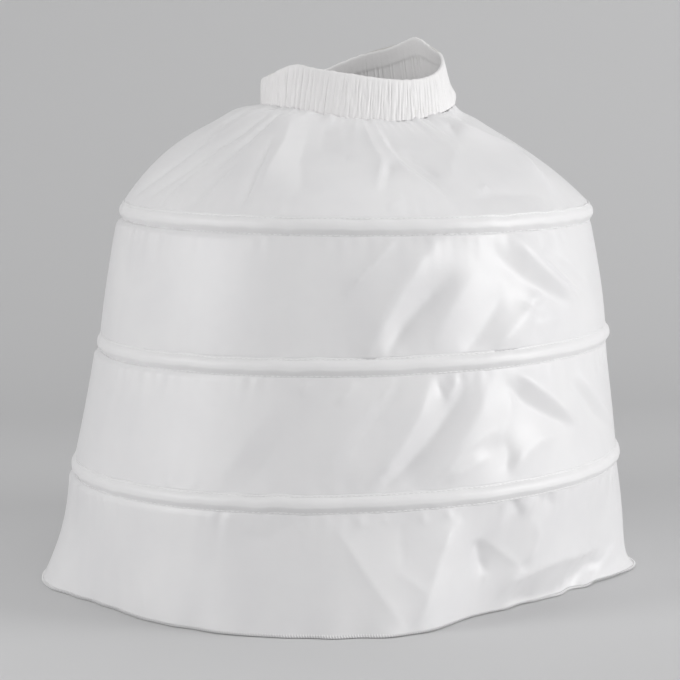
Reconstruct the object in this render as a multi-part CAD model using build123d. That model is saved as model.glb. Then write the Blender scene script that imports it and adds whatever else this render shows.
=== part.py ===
from build123d import *

import os
from collections import namedtuple
from math import cos, pi, radians, sin, sqrt, tau

# Hoop petticoat: a white cloth skirt in four tiers, held out by three sprung hoops in sewn casings.
# The skirt hangs from a gathered waistband with elastic inside, and its hem stands on the floor.
# Frame: +Z up, +X to the wearer's left hand, +Y towards the back.
# The origin is on the floor, under the middle of the hem.  All lengths are millimetres.

# Cloth and sewing
cloth = 0.8  # wall of one layer of cloth
seam_gap = 0.2  # room between two edges that are sewn together

# Hoops: length of each strip, closed into a ring, and its section
upper_hoop_length = 1470.0
middle_hoop_length = 1600.0
lower_hoop_length = 1725.0
strip_height = 8.0
strip_thickness = 1.4
strip_end_gap = 2.0  # between the two ends of a strip, inside its sleeve

# Sleeves that join the ends of each strip
sleeve_length = 30.0
sleeve_wall = 0.5
sleeve_fit = 0.05  # room between strip and sleeve

# Casings sewn round the hoops
casing_room = 0.2  # room between a sleeve and the casing
casing_slack = 2.2  # hollow left above and below a sleeve
casing_flange = 2.0  # height of the stitched edge above and below the hollow

# Drop of each tier, from the middle of one hoop to the next, and down to the floor
yoke_drop = 99.0
second_tier_drop = 125.0
third_tier_drop = 121.0
hem_tier_drop = 118.0

# The skirt leans to one side: shift of each ring along X, and its tilt about Y
waist_shift = 29.5
upper_shift = 26.0
middle_shift = 20.3
lower_shift = 10.4
upper_tilt_deg = -1.4
middle_tilt_deg = 0.1
lower_tilt_deg = 0.4

# Waistband: half width and half depth of the oval at its seam and at its rim
seam_half_width = 95.0
seam_half_depth = 70.0
rim_half_width = 89.0
rim_half_depth = 66.0
rim_shift = 25.0  # along X, where the seam has waist_shift
band_height = 41.0  # mean height of the rim above the seam
seam_saddle = 6.5  # the seam rises this much at both sides, and dips as much in front and behind
seam_twist = 5.4  # and it slants across the front and the back
rim_rise_side = 9.4  # the slack rim rises to +X,
rim_rise_back = 7.5  # to the back,
rim_saddle = 2.4  # dips at both sides,
rim_twist = 12.8  # and rises again across the two diagonals
rib_count = 60
rib_depth = 0.9  # how far the gathers stand out of the band
elastic_thickness = 1.2
elastic_room = 0.3  # between the elastic and the cloth round it
band_hem = 3.0  # stitched depth below the elastic

# Folds in the tiers
yoke_bulge = 10.5  # how far the yoke swells past a straight cone, on average
yoke_bulge_swing = 6.5  # more of it at -X, less at +X
yoke_low_share = 0.4  # the swelling is this much fuller at the hoop than at the waist
yoke_fold_depth = 2.6
yoke_fold_count = 24
drape_depth = 2.0  # drag folds in the two middle tiers
drape_count = 24
drape_slant = 2.6  # how far round a drag fold runs as it falls, in radians of its wave

# Hem: reach of the edge at each angle from the front, as shares of hem_reach, front half then back half
hem_reach = 300.0
hem_edge_height = 3.0
hem_edge_thickness = 1.6
hem_reach_shares = {
    -82: 1.00,
    -70: 0.955,
    -57: 0.905,
    -43: 0.92,
    -28: 0.95,
    -10: 0.975,
    3: 0.99,
    13: 0.98,
    23: 0.90,
    35: 0.845,
    46: 0.875,
    60: 0.89,
    71: 0.91,
    82: 1.00,
    98: 0.965,
    116: 0.925,
    132: 0.955,
    150: 0.915,
    165: 0.955,
    180: 0.99,
    196: 0.955,
    212: 0.925,
    228: 0.96,
    246: 0.92,
    262: 0.965,
}

# How finely the walls are drawn: points round a ring for each wave, and rings up a tier
wave_point_count = 4
plain_point_count = 48
hem_point_count = 120
tier_ring_count = 5
yoke_ring_count = 5
straight_ring_count = 2  # for a wall that is straight from top to bottom
probe_angle = 0.001
probe_share = 0.001

Hoop = namedtuple("Hoop", "name length height shift tilt")
Section = namedtuple("Section", "radius back arc_centre arc_radius arc_end half_height")

lower_height = hem_tier_drop
middle_height = lower_height + third_tier_drop
upper_height = middle_height + second_tier_drop
waist_height = upper_height + yoke_drop

upper = Hoop("upper", upper_hoop_length, upper_height, upper_shift, upper_tilt_deg)
middle = Hoop("middle", middle_hoop_length, middle_height, middle_shift, middle_tilt_deg)
lower = Hoop("lower", lower_hoop_length, lower_height, lower_shift, lower_tilt_deg)


def place(hoop):
    """Where a hoop's own ring, drawn round the Z axis, stands in the skirt."""
    return Location((hoop.shift, 0, hoop.height), (0, -hoop.tilt, 0))


def section_of(hoop):
    """Sizes of a casing's section, worked out from the strip and sleeve that it has to hold."""
    radius = hoop.length / tau
    room = sleeve_fit + sleeve_wall + casing_room
    front = radius + room
    back = radius - strip_thickness - room
    sleeve_half = strip_height / 2 + sleeve_fit + sleeve_wall
    hollow_half = sleeve_half + casing_slack
    # The hollow's front is an arc through its two ends and just clear of the sleeve's corners
    arc_centre = (front + back) / 2 - (hollow_half**2 - sleeve_half**2) / (2 * (front - back))
    arc_radius = sqrt((back - arc_centre) ** 2 + hollow_half**2)
    arc_end = sqrt((arc_radius + cloth) ** 2 - (back + cloth - arc_centre) ** 2)
    return Section(radius, back, arc_centre, arc_radius, arc_end, arc_end + casing_flange)


def hoop_point(hoop, angle, radius, up):
    """A point on a circle about a hoop's own axis, at a height above the hoop's plane."""
    tilt = radians(hoop.tilt)
    out = radius * cos(angle)
    return Vector(
        hoop.shift + out * cos(tilt) - up * sin(tilt),
        radius * sin(angle),
        hoop.height + out * sin(tilt) + up * cos(tilt),
    )


# Hoops, sleeves and casings


def turned(points_in, points_out, angle):
    """A rectangular section between two corners (radius, height), turned about Z by an angle in degrees."""
    (inner, low), (outer, high) = points_in, points_out
    outline = Polyline((inner, 0, low), (outer, 0, low), (outer, 0, high), (inner, 0, high), close=True)
    return revolve(make_face(outline), Axis.Z, angle)


def hoop_strip(hoop):
    radius = section_of(hoop).radius
    gap = 360 * strip_end_gap / hoop.length
    half = strip_height / 2
    ring = turned((radius - strip_thickness, -half), (radius, half), 360 - gap)
    return place(hoop) * Rot(0, 0, 90 + gap / 2) * ring


def hoop_sleeve(hoop):
    radius = section_of(hoop).radius
    sweep = 360 * sleeve_length / hoop.length
    half = strip_height / 2 + sleeve_fit
    bore = turned((radius - strip_thickness - sleeve_fit, -half), (radius + sleeve_fit, half), sweep)
    body = turned(
        (radius - strip_thickness - sleeve_fit - sleeve_wall, -half - sleeve_wall),
        (radius + sleeve_fit + sleeve_wall, half + sleeve_wall),
        sweep,
    )
    return place(hoop) * Rot(0, 0, 90 - sweep / 2) * (body - bore)


def hoop_casing(hoop):
    """Two layers of cloth stitched together above and below a hollow that holds the hoop."""
    size = section_of(hoop)
    inside, face = size.back - cloth, size.back + cloth
    top, end = size.half_height, size.arc_end
    hollow_end = sqrt(size.arc_radius**2 - (size.back - size.arc_centre) ** 2)
    hollow_front = size.arc_centre + size.arc_radius
    edges = [(face, -end), (face, -top), (inside, -top), (inside, top), (face, top), (face, end)]
    outline = Polyline(*[(out, 0, up) for out, up in edges])
    outline += ThreePointArc((face, 0, end), (hollow_front + cloth, 0, 0), (face, 0, -end))
    hollow_ends = [(size.back, 0, -hollow_end), (size.back, 0, hollow_end)]
    hollow = Line(*hollow_ends) + ThreePointArc(hollow_ends[1], (hollow_front, 0, 0), hollow_ends[0])
    ring = revolve(make_face(outline), Axis.Z) - revolve(make_face(hollow), Axis.Z)
    return place(hoop) * ring


# Cloth walls


def closed_ring(points):
    """A smooth closed curve through evenly spaced points, in short panels that share their end tangents."""
    count = len(points)
    edges = []
    for first in range(0, count, wave_point_count):
        last = first + wave_point_count
        run = [points[i % count] for i in range(first, last + 1)]
        ends = [(points[(i + 1) % count] - points[i % count - 1]) / 2 for i in (first, last)]
        steps = [float(i) for i in range(wave_point_count + 1)]
        edges.append(Edge.make_spline(run, tangents=ends, parameters=steps, scale=False))
    return edges


def ring_edges(surface, share, out, count):
    """A closed curve round a surface at one share of its height, moved out along the surface's normal."""
    points = []
    for i in range(count):
        angle = tau * i / count
        here = surface(angle, share)
        around = surface(angle + probe_angle, share) - surface(angle - probe_angle, share)
        along = surface(angle, share - probe_share) - surface(angle, share + probe_share)
        points.append(here + around.cross(along).normalized() * out)
    return closed_ring(points)


def closed_wall(outside, inside):
    """A closed solid between an outer and an inner stack of rings, with ruled faces from ring to ring."""
    faces = []
    for stack in (outside, inside, [outside[0], inside[0]], [outside[-1], inside[-1]]):
        for ring, next_ring in zip(stack, stack[1:]):
            faces += [Face.make_surface_from_curves(*pair) for pair in zip(ring, next_ring)]
    return Solid(Shell(Face.sew_faces(faces)[0]))


def cloth_wall(surface, rings, count, thickness):
    """Cloth of even thickness about a middle surface, which takes an angle and a share from top to bottom."""
    shares = [i / (rings - 1) for i in range(rings)]
    outside = [ring_edges(surface, share, thickness / 2, count) for share in shares]
    inside = [ring_edges(surface, share, -thickness / 2, count) for share in shares]
    return closed_wall(outside, inside)


def swell(start, end, share, angle, height):
    """A point part of the way from start to end, pushed out square to that line in its upright plane."""
    chord = end - start
    level = Vector(cos(angle), sin(angle), 0)
    run = chord.dot(level)
    push = Vector(level.X * -chord.Z, level.Y * -chord.Z, run).normalized()
    return start + chord * share + push * height


def above(hoop, angle):
    """Where the tier above a hoop ends, on the casing's top edge."""
    size = section_of(hoop)
    return hoop_point(hoop, angle, size.back, size.half_height + seam_gap + cloth / 2)


def below(hoop, angle):
    """Where the tier below a hoop starts, on the casing's bottom edge."""
    size = section_of(hoop)
    return hoop_point(hoop, angle, size.back, -size.half_height - seam_gap - cloth / 2)


# Waistband


def seam_height(angle):
    return waist_height + seam_saddle * cos(2 * angle) + seam_twist * sin(2 * angle)


def rim_height(angle):
    lean = rim_rise_side * cos(angle) + rim_rise_back * sin(angle)
    return waist_height + band_height + lean - rim_saddle * cos(2 * angle) + rim_twist * sin(2 * angle)


def band_surface(angle, share):
    """The middle of the waistband's wall, from its rim at share 0 down to its seam at share 1."""
    rim = Vector(rim_shift + rim_half_width * cos(angle), rim_half_depth * sin(angle), rim_height(angle))
    seam_across = waist_shift + seam_half_width * cos(angle)
    seam = Vector(seam_across, seam_half_depth * sin(angle), seam_height(angle))
    return rim + (seam - rim) * share


def ribbed(side):
    """The band's surface with its gathers standing out towards one side, +1 outside and -1 inside."""

    def surface(angle, share):
        here = band_surface(angle, share)
        rib = rib_depth * (1 + cos(rib_count * angle)) / 2
        return here + Vector(cos(angle), sin(angle), 0) * (side * rib)

    return surface


def band_stack(surface, out, first, last, count):
    return [ring_edges(surface, share, out, count) for share in (first, last)]


elastic_top = (cloth + elastic_room) / band_height
elastic_bottom = 1 - band_hem / band_height
band_half = elastic_thickness / 2 + elastic_room + cloth


def waistband():
    """Gathered cloth folded over the elastic, with a closed hollow that holds it."""
    count = rib_count * wave_point_count
    outside = band_stack(ribbed(1), band_half, 0, 1, count)
    inside = band_stack(ribbed(-1), -band_half, 0, 1, count)
    hollow_half = elastic_thickness / 2 + elastic_room
    room = elastic_room / band_height
    first, last = elastic_top - room, elastic_bottom + room
    hollow_out = band_stack(band_surface, hollow_half, first, last, plain_point_count)
    hollow_in = band_stack(band_surface, -hollow_half, first, last, plain_point_count)
    return closed_wall(outside, inside) - closed_wall(hollow_out, hollow_in)


def waist_elastic():
    half = elastic_thickness / 2
    outside = band_stack(band_surface, half, elastic_top, elastic_bottom, plain_point_count)
    inside = band_stack(band_surface, -half, elastic_top, elastic_bottom, plain_point_count)
    return closed_wall(outside, inside)


# Tiers


def yoke_surface(angle, share):
    """The top tier: gathered at the waist seam, swelling out and down to the upper hoop."""
    start = band_surface(angle, 1) - Vector(0, 0, seam_gap + cloth)
    end = above(upper, angle)
    fullness = 4 * share * (1 - share) * (1 + yoke_low_share * (share - 1 / 2))
    bulge = (yoke_bulge - yoke_bulge_swing * cos(angle)) * fullness
    gather = yoke_fold_depth * (1 - share) * (1 - cos(yoke_fold_count * angle)) / 2
    return swell(start, end, share, angle, bulge - gather)


def middle_tier(top, bottom):
    """A tier between two hoops, with slanting drag folds that die out at both casings."""

    def surface(angle, share):
        depth = drape_depth * sin(pi * share) * (1 + cos(angle + pi / 4)) / 2
        fold = depth * cos(drape_count * angle - drape_slant * share)
        return swell(below(top, angle), above(bottom, angle), share, angle, fold)

    return surface


def hem_reach_at(angle):
    """How far the hem reaches from the origin in one direction, on a smooth curve through the shares."""
    marks = sorted(hem_reach_shares)
    turn = (angle * 360 / tau + 90 - marks[0]) % 360 + marks[0]
    place_in = max(i for i, mark in enumerate(marks) if mark <= turn)
    near = [place_in - 1, place_in, place_in + 1, place_in + 2]
    a, b, c, d = (hem_reach_shares[marks[i % len(marks)]] for i in near)
    start, end = marks[place_in], marks[(place_in + 1) % len(marks)]
    t = (turn - start) / ((end - start) % 360)
    share = b + t * (c - a + t * (2 * a - 5 * b + 4 * c - d + t * (3 * (b - c) + d - a))) / 2
    return hem_reach * share


def hem_ring(angle, out, up):
    """A point on the hem's edge, moved out and up."""
    reach = hem_reach_at(angle) - hem_edge_thickness / 2 + out
    return Vector(reach * cos(angle), reach * sin(angle), up)


def hem_surface(angle, share):
    """The bottom tier, from the lower casing to the hem's sewn edge."""
    start, end = below(lower, angle), hem_ring(angle, 0, hem_edge_height + seam_gap)
    return start + (end - start) * share


def hem_overlock():
    """The thread-covered edge that stands on the floor: level above and below, and flat-sided."""
    count = hem_point_count
    walls = {}
    for out in (-hem_edge_thickness / 2, hem_edge_thickness / 2):
        for up in (0, hem_edge_height):
            points = [hem_ring(tau * i / count, out, up) for i in range(count)]
            walls[out, up] = closed_ring(points)
    inner, outer = -hem_edge_thickness / 2, hem_edge_thickness / 2
    faces = [Face(Wire(walls[outer, up]), [Wire(walls[inner, up])]) for up in (0, hem_edge_height)]
    for out in (inner, outer):
        pairs = zip(walls[out, 0], walls[out, hem_edge_height])
        faces += [Face.make_surface_from_curves(*pair) for pair in pairs]
    return Solid(Shell(Face.sew_faces(faces)[0]))


os.makedirs("parts", exist_ok=True)
fold_point_count = yoke_fold_count * wave_point_count
drape_point_count = drape_count * wave_point_count
pieces = {
    "waistband": waistband(),
    "waist_elastic": waist_elastic(),
    "yoke": cloth_wall(yoke_surface, yoke_ring_count, fold_point_count, cloth),
    "second_tier": cloth_wall(middle_tier(upper, middle), tier_ring_count, drape_point_count, cloth),
    "third_tier": cloth_wall(middle_tier(middle, lower), tier_ring_count, drape_point_count, cloth),
    "hem_tier": cloth_wall(hem_surface, straight_ring_count, hem_point_count, cloth),
    "hem_overlock": hem_overlock(),
}
for hoop in (upper, middle, lower):
    pieces[hoop.name + "_hoop"] = hoop_strip(hoop)
    pieces[hoop.name + "_hoop_sleeve"] = hoop_sleeve(hoop)
    pieces[hoop.name + "_hoop_casing"] = hoop_casing(hoop)
for name, piece in pieces.items():
    export_step(piece, f"parts/{name}.step")
    print(name, round(piece.volume), "cubic millimetres")
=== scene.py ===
# %% [markdown]
# # A hoop petticoat
# The real object is a white lining-cloth skirt.  Three sprung hoops hold it out, each in a cloth casing,
# and it hangs from a waistband that is gathered on elastic.  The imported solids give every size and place.
# This lesson lays cloth over them: first the measuring, then one piece of cloth after another, then the finishes.

# %% Load the solids
import math
from collections import namedtuple

import bpy
import numpy as np
from mathutils import Matrix, Vector


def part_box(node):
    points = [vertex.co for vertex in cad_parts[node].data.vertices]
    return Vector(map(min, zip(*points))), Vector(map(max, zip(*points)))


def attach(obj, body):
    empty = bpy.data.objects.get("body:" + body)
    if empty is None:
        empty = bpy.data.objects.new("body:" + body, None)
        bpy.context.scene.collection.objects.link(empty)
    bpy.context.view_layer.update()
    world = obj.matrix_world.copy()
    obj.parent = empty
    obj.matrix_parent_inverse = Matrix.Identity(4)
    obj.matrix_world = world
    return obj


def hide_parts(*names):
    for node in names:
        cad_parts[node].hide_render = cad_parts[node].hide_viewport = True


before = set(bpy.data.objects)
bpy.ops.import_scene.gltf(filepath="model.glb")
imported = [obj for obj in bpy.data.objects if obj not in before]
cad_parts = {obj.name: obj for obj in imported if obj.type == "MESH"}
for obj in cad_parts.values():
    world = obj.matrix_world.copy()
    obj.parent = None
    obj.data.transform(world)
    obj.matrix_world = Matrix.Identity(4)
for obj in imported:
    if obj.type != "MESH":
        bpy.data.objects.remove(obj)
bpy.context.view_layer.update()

MM = 0.001
TURN = 2 * math.pi

# %% [markdown]
# ## The camera
# The camera comes first, because the folds are placed as the photograph shows them.  It stands in front of the
# skirt, a little above half its height, looks down, and is turned slightly, so that the floor is level.

# %% Camera
PHOTO_SIZE = 680
FOCAL_PIXELS = 2300
SENSOR = 36.0
CAMERA_PLACE = Vector((0.0073, -2.3, 0.529))
LOOK_DOWN = math.radians(7.36)
ROLL = math.radians(1.16)

look = Vector((0, math.cos(LOOK_DOWN), -math.sin(LOOK_DOWN)))
plain_up = Vector((0, math.sin(LOOK_DOWN), math.cos(LOOK_DOWN)))
camera_right = Vector((1, 0, 0)) * math.cos(ROLL) - plain_up * math.sin(ROLL)
camera_up = Vector((1, 0, 0)) * math.sin(ROLL) + plain_up * math.cos(ROLL)

camera_data = bpy.data.cameras.new("photo_camera")
camera_data.sensor_width = SENSOR
camera_data.lens = SENSOR * FOCAL_PIXELS / PHOTO_SIZE
camera = bpy.data.objects.new("photo_camera", camera_data)
bpy.context.scene.collection.objects.link(camera)
turn = Matrix((camera_right, camera_up, -look)).transposed().to_4x4()
camera.matrix_world = Matrix.Translation(CAMERA_PLACE) @ turn
bpy.context.scene.camera = camera
print("camera lens", round(camera_data.lens, 1))


def seen_at(points):
    """Pixel places, in the photograph's frame, of points given in metres."""
    away = points - np.array(CAMERA_PLACE)
    depth = away @ np.array(look)
    across = PHOTO_SIZE / 2 + FOCAL_PIXELS * (away @ np.array(camera_right)) / depth
    down = PHOTO_SIZE / 2 - FOCAL_PIXELS * (away @ np.array(camera_up)) / depth
    return np.stack([across, down], -1)


# %% [markdown]
# ## Measuring the solids
# Each casing is a ring about its own slightly tilted axis.  Its box gives the middle and the reach, its points
# at the far left and right give the tilt, and the points nearest to the axis give its inner wall.

# %% Rings of the three casings
HOOPS = ("upper", "middle", "lower")
Ring = namedtuple("Ring", "name middle tilt inside reach half_height")


def points_of(node):
    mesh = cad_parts[node].data
    flat = np.empty(len(mesh.vertices) * 3)
    mesh.vertices.foreach_get("co", flat)
    return flat.reshape(-1, 3)


def measure_ring(name):
    points = points_of(name + "_hoop_casing")
    low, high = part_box(name + "_hoop_casing")
    middle = np.array((low + high) / 2)
    left, right = points[points[:, 0].argmin()], points[points[:, 0].argmax()]
    tilt = math.atan2(right[2] - left[2], right[0] - left[0])
    x, y, z = (points - middle).T
    level = x * math.cos(tilt) + z * math.sin(tilt)
    height = z * math.cos(tilt) - x * math.sin(tilt)
    radius = np.hypot(level, y)
    return Ring(name, middle, tilt, radius.min(), radius.max(), np.abs(height).max())


rings = upper, middle, lower = [measure_ring(name) for name in HOOPS]
for ring in rings:
    widths = [round(float(width), 4) for width in (ring.inside, ring.reach, ring.half_height)]
    print(ring.name, "inside, reach and half height", widths)


def on_ring(ring, angle, radius, up):
    """Points on a circle about a ring's axis, at a height above the ring's plane."""
    out = radius * np.cos(angle)
    x = ring.middle[0] + out * math.cos(ring.tilt) - up * math.sin(ring.tilt)
    z = ring.middle[2] + out * math.sin(ring.tilt) + up * math.cos(ring.tilt)
    return np.stack(np.broadcast_arrays(x, ring.middle[1] + radius * np.sin(angle), z), -1)


# %% [markdown]
# The waistband and the hem aren't circles.  Their edges are read from the solids as points round the skirt,
# and a few harmonics through those points give a smooth closed curve that can be asked at any angle.

# %% Edges of the waistband and of the hem
BAND_TOP_ROOM = 1.1 * MM  # cloth over the elastic's top edge
BAND_HEM = 3.0 * MM  # stitched cloth below the elastic
EDGE_SLICES = 120  # slices of the turn in which the elastic's edges are looked for
BAND_ORDER, HEM_ORDER = 3, 18  # harmonics that follow the waistband's edges and the hem


def waves(angle, order):
    rows = [np.ones_like(angle)]
    for k in range(1, order + 1):
        rows += [np.cos(k * angle), np.sin(k * angle)]
    return np.stack(rows, -1)


def closed_curve(angle, points, order):
    """A function that gives the curve's points at any angles."""
    weights = np.linalg.lstsq(waves(angle, order), points, rcond=None)[0]
    return lambda at: waves(np.asarray(at, float), order) @ weights


def elastic_edge(pick):
    """The elastic's top or bottom edge, through the point that pick takes in each slice of the turn."""
    points = points_of("waist_elastic")
    x, y, _ = (points - np.array(band_middle)).T
    angle = np.arctan2(y / band_half.y, x / band_half.x)
    part = ((angle + math.pi) / TURN * EDGE_SLICES).astype(int) % EDGE_SLICES
    found = [np.flatnonzero(part == k) for k in range(EDGE_SLICES)]
    chosen = [group[pick(points[group, 2])] for group in found if len(group)]
    return closed_curve(angle[chosen], points[chosen], BAND_ORDER)


low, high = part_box("waist_elastic")
band_middle, band_half = (low + high) / 2, (high - low) / 2
elastic_top, elastic_foot = elastic_edge(np.argmax), elastic_edge(np.argmin)

hem_points = points_of("hem_overlock")
hem_points = hem_points[hem_points[:, 2] < hem_points[:, 2].mean()]
hem_angle = np.arctan2(hem_points[:, 1], hem_points[:, 0])
hem_radius = closed_curve(hem_angle, np.hypot(hem_points[:, 0], hem_points[:, 1])[:, None], HEM_ORDER)
print("hem reach", round(float(hem_radius(np.array([0.0]))[0, 0]), 4))


def band_line(angle, share):
    """The middle of the waistband's wall, from its rim at share 0 to its seam at share 1."""
    top, foot = elastic_top(angle), elastic_foot(angle)
    along = (top - foot) / np.linalg.norm(top - foot, axis=-1, keepdims=True)
    rim, seam = top + along * BAND_TOP_ROOM, foot - along * BAND_HEM
    return rim + (seam - rim) * np.asarray(share)[..., None]


# %% [markdown]
# ## Cloth as a grid
# Every tier is a ring of cloth between two seams.  A cloth artist would drape it; here a fine grid follows the
# tier's plain form, and each fold is then pushed out of that grid along its normal.  That keeps each fold where
# the real one is, and a sheet that is sewn to a stiff hoop above and below has little room to fall otherwise.

# %% Grids and their normals
CLOTH = 0.5 * MM


def grid_of(surface, columns, rows):
    angle = np.arange(columns) / columns * TURN
    share = np.linspace(0, 1, rows + 1)
    angle, share = np.meshgrid(angle, share)
    return angle, share, surface(angle, share)


def normals_of(points):
    across = np.roll(points, -1, 1) - np.roll(points, 1, 1)
    along = np.gradient(points, axis=0)
    out = np.cross(along, across)
    return out / np.linalg.norm(out, axis=-1, keepdims=True)


def new_piece(name, points, faces):
    mesh = bpy.data.meshes.new(name)
    mesh.from_pydata(points.reshape(-1, 3).tolist(), [], faces)
    mesh.polygons.foreach_set("use_smooth", np.ones(len(faces), bool))
    piece = bpy.data.objects.new(name, mesh)
    bpy.context.scene.collection.objects.link(piece)
    return piece


def mesh_of(name, points, wrap_rows=False):
    """A closed ring of quads from a grid of points, with a UV map in metres of cloth."""
    rows, columns = points.shape[:2]
    index = np.arange(rows * columns).reshape(rows, columns)
    if wrap_rows:
        index = np.concatenate([index, index[:1]])
    right = np.roll(index, -1, 1)
    quads = np.stack([index[:-1], index[1:], right[1:], right[:-1]], -1).reshape(-1, 4)
    piece = new_piece(name, points, quads.tolist())
    around = np.linalg.norm(np.roll(points, -1, 1) - points, axis=-1).mean() * columns
    steps = np.linalg.norm(np.diff(points, axis=0), axis=-1).mean(1)
    down = np.concatenate([[0], np.cumsum(steps), [steps.sum() * (rows + 1) / rows]])
    column, row = np.meshgrid(np.arange(columns), np.arange(len(index) - 1))
    u = np.stack([column, column, column + 1, column + 1], -1) / columns * around
    v = -np.stack([down[row], down[row + 1], down[row + 1], down[row]], -1)
    layer = piece.data.uv_layers.new(name="cloth")
    layer.data.foreach_set("uv", np.stack([u, v], -1).ravel())
    return piece


def choose(piece):
    """Make one piece the only selected and the active one."""
    bpy.ops.object.select_all(action="DESELECT")
    piece.select_set(True)
    bpy.context.view_layer.objects.active = piece


def tier_piece(name, points):
    """A tier's sheet of cloth, with its thickness."""
    piece = mesh_of(name, points)
    choose(piece)
    wall = piece.modifiers.new("thickness", "SOLIDIFY")
    wall.thickness = CLOTH
    wall.offset = 0
    bpy.ops.object.modifier_apply(modifier=wall.name)
    print(name, "faces", len(piece.data.polygons))
    return piece


def drop_of(form):
    """A tier's mean length from its upper to its lower edge."""
    return np.linalg.norm(form[-1] - form[0], axis=-1).mean()


def swell(start, end, share, angle, push):
    """Points part of the way from start to end, pushed out square to that line in its upright plane."""
    chord = end - start
    level = np.stack([np.cos(angle), np.sin(angle), np.zeros_like(angle)], -1)
    run = (chord * level).sum(-1, keepdims=True)
    out = level * -chord[..., 2:] + np.array([0, 0, 1.0]) * run
    out /= np.linalg.norm(out, axis=-1, keepdims=True)
    return start + chord * share[..., None] + out * push[..., None]


# %% [markdown]
# ## Folds
# Cloth that is pulled up along a ridge and down along a valley runs nearly straight between the two, and lies flat
# again some way off.  So only the lines are placed: each is a height in millimetres and a path on the photograph,
# which is carried over to the grid.  All other points then settle, as in a soap film, to the mean of their
# neighbours, drawn back to the tier's plain form over a distance called the reach.

# %% Folds from ridge and valley lines
PULL_ROUNDS = 500
LINE_END_SHARE = 0.25  # part of a line, at each end, over which its height comes up
LINE_END_HEIGHT = 0.1  # part of its height that is left at its very end
CREASE_REACH = 5 * MM
BACK_TURN = 0.5  # the back is the half turn that starts at the right side


def fine_path(path):
    """A line on the photograph with a point at every pixel of its length."""
    path = np.array(path, float)
    lengths = np.linalg.norm(np.diff(path, axis=0), axis=1)
    along = np.concatenate([[0], np.cumsum(lengths)])
    at = np.linspace(0, along[-1], int(along[-1]) + 2)
    return np.stack([np.interp(at, along, path[:, k]) for k in range(2)], -1)


def line_heights(height, count):
    """Heights along a line, low at both ends."""
    share = np.linspace(0, 1, count)
    rise = np.clip(np.minimum(share, 1 - share) / LINE_END_SHARE, 0, 1)
    return height * MM * (LINE_END_HEIGHT + (1 - LINE_END_HEIGHT) * rise**0.8)


def photo_marks(lines, points, normals):
    """Rows, columns and heights of the grid points under each line."""
    facing = ((points - np.array(CAMERA_PLACE)) * normals).sum(-1) < 0
    row, column = np.nonzero(facing)
    places = seen_at(points[facing])
    marks = []
    for height, *path in lines:
        best = [((places - pixel) ** 2).sum(-1).argmin() for pixel in fine_path(path)]
        marks.append((row[best], column[best], line_heights(height, len(best))))
    return marks


def back_marks(shape, seed, count):
    """Slanting pairs of ridge and valley on the back, which the photograph doesn't show, like those in front."""
    random = np.random.RandomState(seed)
    rows, columns = shape
    at = np.linspace(0, 1, 2 * rows)
    marks = []
    for k in range(count):
        turn_at = (k + random.uniform(0.1, 0.9)) / count * BACK_TURN
        top, foot = random.uniform(0.02, 0.3), random.uniform(0.6, 0.97)
        run = random.uniform(0.004, 0.03) * random.choice([1, -1, -1])
        sag = random.uniform(-0.006, 0.006)
        row = ((top + (foot - top) * at) * (rows - 1)).astype(int)
        ridge, apart, valley = random.uniform(1.6, 3.2), random.uniform(0.011, 0.017), random.uniform(1, 3)
        for shift, height in ((0, ridge), (apart, -valley)):
            column = ((turn_at + shift + run * at + sag * np.sin(math.pi * at)) * columns).astype(int) % columns
            marks.append((row, column, line_heights(height, len(at))))
    return marks


def neighbours(level):
    padded = np.concatenate([level[:1], level, level[-1:]])
    return np.roll(level, 1, 1) + np.roll(level, -1, 1), padded[:-2] + padded[2:]


def pulled(points, marks, reach, soften, free_foot=False):
    """Heights of a grid that is held along the marks, and flat at its seams and far from the marks."""
    held, fixed = np.zeros(points.shape[:2], bool), np.zeros(points.shape[:2])
    for row, column, height in marks:
        held[row, column], fixed[row, column] = True, height
    for seam in [0] if free_foot else [0, -1]:
        held[seam], fixed[seam] = True, 0
    across = np.linalg.norm(np.roll(points, -1, 1) - points, axis=-1).mean(1)[:, None]
    down = np.linalg.norm(np.diff(points, axis=0), axis=-1).mean()
    wide, tall = across**-2, down**-2
    level = fixed.copy()
    for _ in range(PULL_ROUNDS):
        around, along = neighbours(level)
        level = np.where(held, fixed, (wide * around + tall * along) / (2 * wide + 2 * tall + reach**-2))
    for _ in range(soften):
        around, along = neighbours(level)
        level = level / 2 + (around + along) / 8
    return level


def fold_push(form, out, folds, creases, back, reach, soften, crease_soften, free_foot=False):
    """Heights of a tier's wide folds, with those on its back by seed and count, and of its sharp creases."""
    marks = photo_marks(folds, form, out) + back_marks(form.shape[:2], *back)
    push = pulled(form, marks, reach, soften, free_foot)
    return push + pulled(form, photo_marks(creases, form, out), CREASE_REACH, crease_soften, free_foot)


# %% [markdown]
# Sewing leaves its own small folds.  Along a stitched edge the cloth puckers in short uneven waves that die out
# within a few centimetres, and a whole tier is never quite even.  Both are sums of waves with seeded phases, so
# they close round the ring and come out the same each time.

# %% Puckers and slack
SEAM_HOLD = 6 * MM  # cloth this close to a seam is held flat by it


def ripple(angle, first, last, count, seed):
    """An uneven wave round the ring, about one high, from waves of first to last crests a turn."""
    random = np.random.RandomState(seed)
    total = np.zeros_like(angle)
    for k, phase in zip(random.randint(first, last + 1, count), random.uniform(0, TURN, count)):
        total += np.cos(k * angle + phase)
    return total / math.sqrt(count / 2)


def puckers(angle, distance, reach, seed):
    """Short uneven waves next to a seam, by the distance from it."""
    fine = ripple(angle, 60, 130, 24, seed) * np.exp(-distance / reach)
    wide = ripple(angle, 25, 60, 16, seed + 1) * np.exp(-distance / (2.5 * reach))
    uneven = 0.6 + 0.4 * ripple(angle, 3, 11, 6, seed + 2)
    return (fine + 0.8 * wide) * np.clip(uneven, 0.1, 1.5) * np.clip(distance / SEAM_HOLD, 0, 1)


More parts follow.
